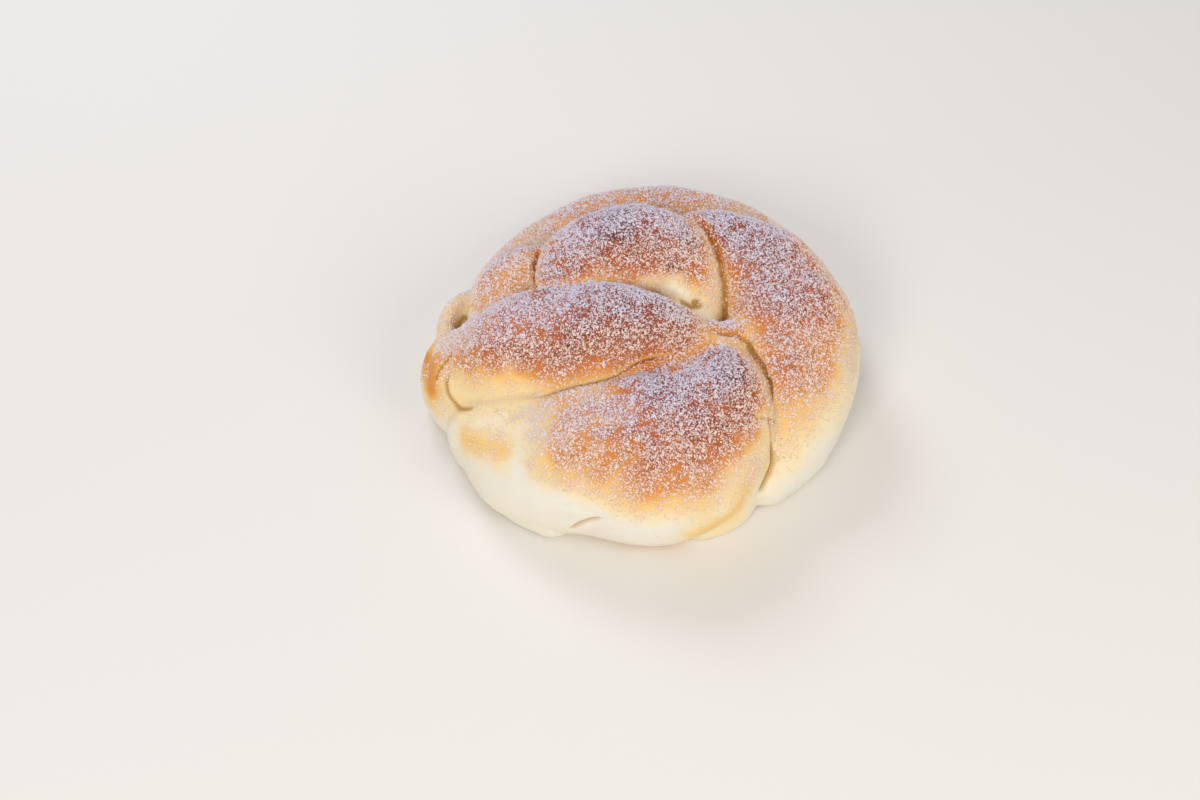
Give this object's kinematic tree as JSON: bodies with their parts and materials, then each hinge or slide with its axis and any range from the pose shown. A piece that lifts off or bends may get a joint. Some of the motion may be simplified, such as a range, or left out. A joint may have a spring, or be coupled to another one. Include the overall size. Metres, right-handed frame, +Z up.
{
  "type": "sugar bun",
  "caption": "Soft knotted sweet bun, round and flat-bottomed, its thick dough strands folded over one another and crusted with sugar.",
  "frame": {"origin": "middle of the bun's box, on the flat underside", "axes": "+Z up, the broad front lobe faces -Y, the long right-hand strand lies at +X"},
  "size_m": [0.1416, 0.143, 0.0508],
  "materials": {
    "crust": "soft baked crust, red-brown to cream, under white sugar",
    "sugar": "sparkling white crystals"
  },
  "bodies": {
    "root": {"bun": "crust"}
  },
  "joints": []
}
